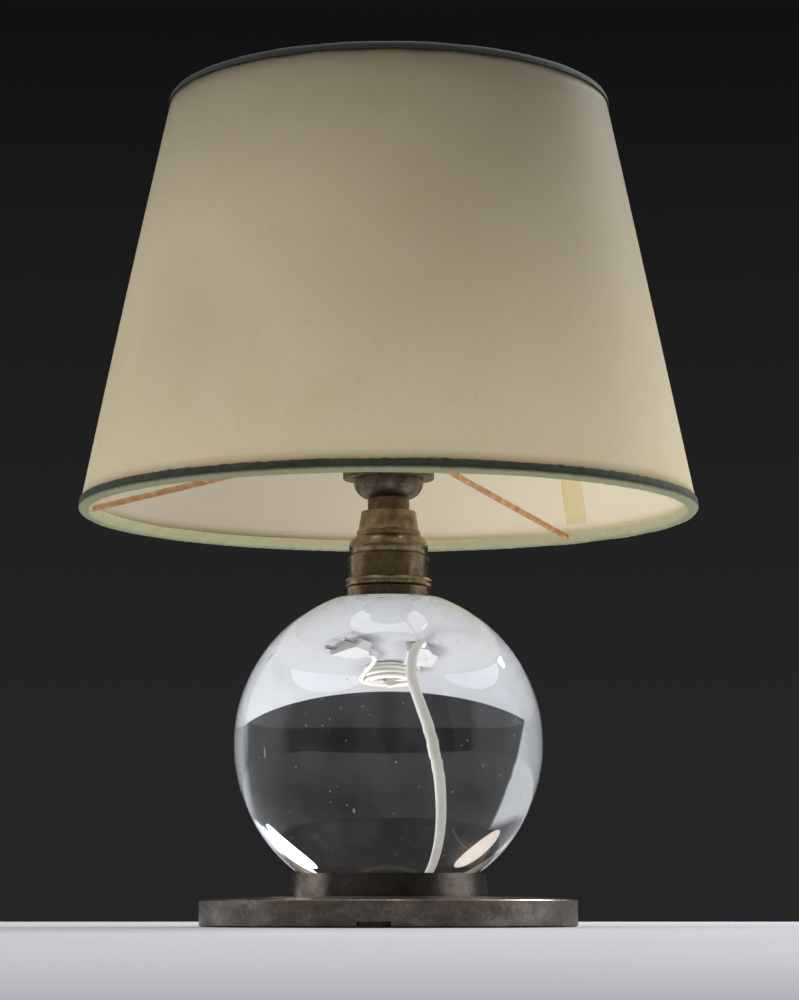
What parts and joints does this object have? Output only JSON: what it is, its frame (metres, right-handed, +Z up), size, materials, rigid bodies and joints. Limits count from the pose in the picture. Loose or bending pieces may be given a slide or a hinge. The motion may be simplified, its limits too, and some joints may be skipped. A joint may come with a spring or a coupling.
{
  "type": "crystal table lamp",
  "caption": "Table lamp with a solid crystal ball on a bronzed disc foot, a turned brass stem and a tapered parchment shade bound with tape.",
  "frame": {"origin": "on the lamp's axis, in the plane of the felt that it stands on", "axes": "+Z up along the lamp's axis, -Y towards the viewer of the picture, +X to the viewer's right"},
  "size_m": [0.2424, 0.4872, 0.3266],
  "materials": {
    "felt": "dense felt",
    "bronze": "dark bronzed brass, worn warm at the edges",
    "brass_aged": "turned brass with a dull brown patina",
    "brass_ribbed": "ribbed brass with a dull brown patina",
    "brass_plain": "plain brass",
    "steel": "zinc plated",
    "crystal": "polished solid crystal",
    "rubber_black": "matt",
    "cord_white": "smooth off-white sheath",
    "tie": "satin",
    "porcelain": "glazed porcelain",
    "wire_brown": "insulated core",
    "wire_blue": "insulated core",
    "bulb_glass": "frosted glass",
    "bulb_stem": "clear glass",
    "bulb_metal": "satin",
    "bulb_tip": "black glass with a tinned tip",
    "frame_wire": "coppered wire",
    "parchment": "parchment card, faintly fibred",
    "seam": "yellowed tape",
    "tape": "grey-green woven tape",
    "switch_white": "satin moulding",
    "rocker_grey": "satin moulding",
    "pin_nickel": "nickel plated"
  },
  "bodies": {
    "lamp": {"felt_pad": "felt", "base_plate": "bronze", "ball_seat": "bronze", "stem_base": "brass_aged", "stem_drum": "brass_aged", "stem_bun": "brass_aged", "stem_collar": "brass_aged", "holder_cap": "brass_aged", "holder_barrel": "brass_aged", "lower_shade_ring": "brass_aged", "knurled_ring": "brass_ribbed", "nipple_tube": "brass_plain", "lock_nut": "brass_plain", "screw_shell": "brass_plain", "centre_contact": "brass_plain", "shell_contact": "brass_plain", "seat_screws": "steel", "terminal_screws": "steel", "switch_screws": "steel", "crystal_ball": "crystal", "seat_pad": "rubber_black", "stem_washer": "rubber_black", "cord_run": "cord_white", "cord_link": "cord_white", "cord_tail": "cord_white", "cord_coil": "cord_white", "cord_relief": "cord_white", "coil_tie": "tie", "holder_insert": "porcelain", "insulating_sleeve": "porcelain", "live_wire": "wire_brown", "neutral_wire": "wire_blue", "switch_base": "switch_white", "switch_cover": "switch_white", "plug_body": "switch_white", "plug_pins": "pin_nickel"},
    "shade": {"fitter_ring": "frame_wire", "shade_spokes": "frame_wire", "lower_wire_ring": "frame_wire", "upper_wire_ring": "frame_wire", "shade_paper": "parchment", "seam_strip": "seam", "lower_trim": "tape", "upper_trim": "tape"},
    "clamp_ring": {"upper_shade_ring": "brass_aged"},
    "bulb_tip": {"bulb_contact": "bulb_tip"},
    "bulb": {"bulb_glass": "bulb_glass", "bulb_cap": "bulb_metal", "bulb_mount": "bulb_stem", "bulb_filament": "bulb_metal"},
    "rocker": {"switch_rocker": "rocker_grey"}
  },
  "joints": [
    {"name": "shade_turn", "type": "hinge", "parent": "lamp", "child": "shade", "pos_m": [0, 0, 0.1856], "axis": [0, 0, 1], "continuous": true},
    {"name": "ring_unscrew", "type": "hinge", "parent": "lamp", "child": "clamp_ring", "pos_m": [0, 0, 0.188], "axis": [0, 0, 1], "range_deg": [0, 720]},
    {"name": "bulb_lift", "type": "slide", "parent": "lamp", "child": "bulb_tip", "axis": [0, 0, 1], "range_m": [0, 0.0182]},
    {"name": "bulb_turn", "type": "hinge", "parent": "bulb_tip", "child": "bulb", "pos_m": [0, 0, 0.2], "axis": [0, 0, 1], "range_deg": [0, 1800]},
    {"name": "rocker_tilt", "type": "hinge", "parent": "lamp", "child": "rocker", "pos_m": [-0.028, 0.252, 0.0124], "axis": [-1, 0, 0], "range_deg": [0, 18]}
  ],
  "couplings": [
    {"joint": "bulb_lift", "follows": "bulb_turn", "m_per_rad": 0.00057757}
  ]
}
